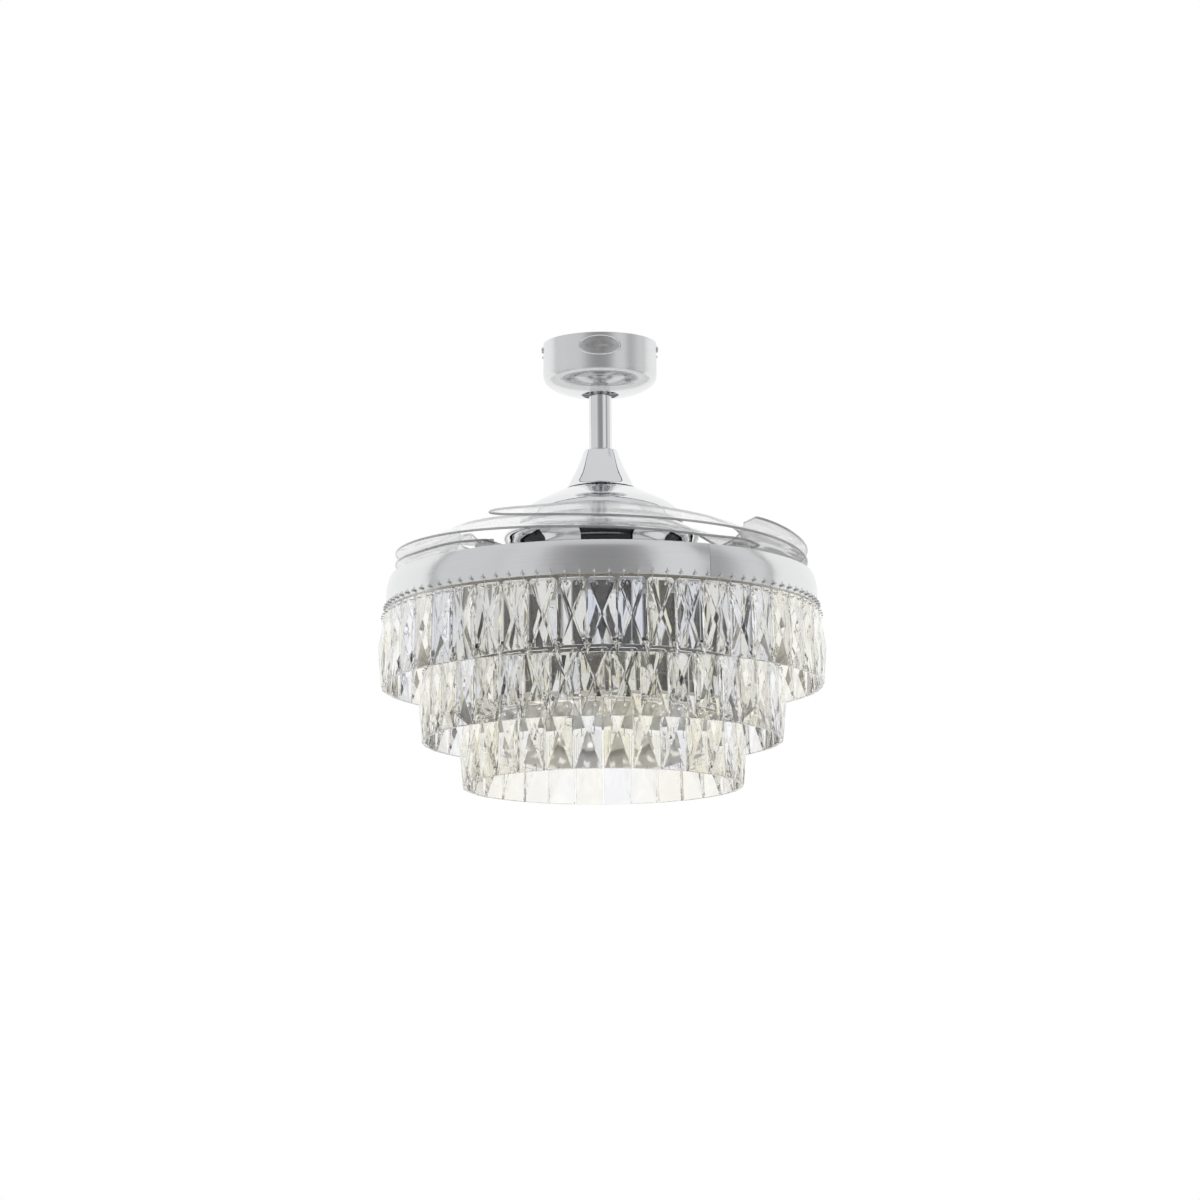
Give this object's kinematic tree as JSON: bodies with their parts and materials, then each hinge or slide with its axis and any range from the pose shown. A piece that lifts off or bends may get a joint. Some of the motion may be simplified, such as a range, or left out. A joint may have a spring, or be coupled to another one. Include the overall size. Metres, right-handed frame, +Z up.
{
  "type": "ceiling fan with light",
  "caption": "Short-rod ceiling fan with clear blades that fold over a round chrome drum, above a stepped ring light hung with cut-glass crystals.",
  "frame": {"origin": "centre of the mounting bracket's top face, where it lies against the ceiling, on the fan's axis", "axes": "+Z up along the down rod into the ceiling; -Y towards the front, the side with the oval plate; +X to the right seen from the front"},
  "size_m": [0.5192, 0.5192, 0.5221],
  "materials": {
    "zinc_steel": "zinc plated",
    "chrome": "polished",
    "badge_metal": "satin",
    "dark_plastic": "matt",
    "bearing_steel": "ground",
    "core_steel": "varnished",
    "copper": "enamelled copper wire",
    "magnet": "nickel plated",
    "black_paint": "gloss black",
    "gear_plastic": "natural",
    "clear_plastic": "clear, polished edges",
    "crystal": "cut and polished",
    "board": "white solder mask",
    "opal_plastic": "opal"
  },
  "bodies": {
    "ceiling_mount": {"mounting_bracket": "zinc_steel", "canopy": "chrome", "canopy_screws": "chrome", "canopy_badge": "badge_metal", "receiver_box": "dark_plastic", "terminal_block": "dark_plastic"},
    "ball_seat": {"ball_seat_liner": "dark_plastic"},
    "hanging_part": {"hanger_ball": "dark_plastic", "hanger_pin": "zinc_steel", "down_rod": "chrome", "yoke_coupling": "zinc_steel", "clevis_pin": "zinc_steel", "cotter_clip": "zinc_steel", "yoke_set_screw": "zinc_steel", "yoke_cover": "chrome", "dome_cover": "chrome", "dome_screws": "chrome", "motor_shaft": "bearing_steel", "bearing_inner_races": "bearing_steel", "bearing_balls": "bearing_steel", "stator_core": "core_steel", "stator_windings": "copper", "light_pan": "black_paint", "shaft_washer": "zinc_steel", "shaft_nut": "zinc_steel", "drum_band": "chrome", "tier_shell_2": "chrome", "tier_shell_3": "chrome", "shell_screws": "chrome", "crystals_tier_1": "crystal", "crystals_tier_2": "crystal", "crystals_tier_3": "crystal", "hanging_pins_tier_1": "chrome", "hanging_pins_tier_2": "chrome", "hanging_pins_tier_3": "chrome", "led_board": "board", "led_driver": "dark_plastic", "light_diffuser": "opal_plastic"},
    "rotor": {"motor_shell_upper": "chrome", "motor_shell_lower": "chrome", "rotor_magnets": "magnet", "bearing_outer_races": "bearing_steel", "blade_carrier": "black_paint", "carrier_screws": "zinc_steel", "pivot_studs": "zinc_steel", "ring_keepers": "zinc_steel", "return_springs": "zinc_steel"},
    "timing_ring": {"timing_ring": "gear_plastic"},
    "blade_1": {"blade_1": "clear_plastic", "blade_hub_1": "gear_plastic", "blade_screws_1": "chrome"},
    "blade_2": {"blade_2": "clear_plastic", "blade_hub_2": "gear_plastic", "blade_screws_2": "chrome"},
    "blade_3": {"blade_3": "clear_plastic", "blade_hub_3": "gear_plastic", "blade_screws_3": "chrome"},
    "blade_4": {"blade_4": "clear_plastic", "blade_hub_4": "gear_plastic", "blade_screws_4": "chrome"}
  },
  "joints": [
    {"name": "swing_x", "type": "hinge", "parent": "ceiling_mount", "child": "ball_seat", "pos_m": [0, 0, -0.0365], "axis": [1, 0, 0], "range_deg": [-10, 10]},
    {"name": "swing_y", "type": "hinge", "parent": "ball_seat", "child": "hanging_part", "pos_m": [0, 0, -0.0365], "axis": [0, 1, 0], "range_deg": [-10, 10]},
    {"name": "fan_spin", "type": "hinge", "parent": "hanging_part", "child": "rotor", "pos_m": [0, 0, -0.25], "axis": [0, 0, 1], "continuous": true},
    {"name": "timing_ring_turn", "type": "hinge", "parent": "rotor", "child": "timing_ring", "pos_m": [0, 0, -0.289], "axis": [0, 0, 1], "range_deg": [-23, 0]},
    {"name": "blade_1_fold", "type": "hinge", "parent": "rotor", "child": "blade_1", "pos_m": [0.12722, 0.15432, -0.28], "axis": [0, 0, 1], "range_deg": [0, 165], "stiffness_Nm_per_rad": 0.03, "springref_deg": -22.92, "deforming": ["return_springs"]},
    {"name": "blade_2_fold", "type": "hinge", "parent": "rotor", "child": "blade_2", "pos_m": [0.15432, -0.12722, -0.28], "axis": [0, 0, 1], "range_deg": [0, 165], "stiffness_Nm_per_rad": 0.03, "springref_deg": -22.92},
    {"name": "blade_3_fold", "type": "hinge", "parent": "rotor", "child": "blade_3", "pos_m": [-0.12722, -0.15432, -0.28], "axis": [0, 0, 1], "range_deg": [0, 165], "stiffness_Nm_per_rad": 0.03, "springref_deg": -22.92},
    {"name": "blade_4_fold", "type": "hinge", "parent": "rotor", "child": "blade_4", "pos_m": [-0.15432, 0.12722, -0.28], "axis": [0, 0, 1], "range_deg": [0, 165], "stiffness_Nm_per_rad": 0.03, "springref_deg": -22.92}
  ],
  "couplings": [
    {"joint": "timing_ring_turn", "follows": "blade_1_fold", "ratio": -0.13636},
    {"joint": "blade_2_fold", "follows": "blade_1_fold", "ratio": 1},
    {"joint": "blade_3_fold", "follows": "blade_1_fold", "ratio": 1},
    {"joint": "blade_4_fold", "follows": "blade_1_fold", "ratio": 1}
  ]
}
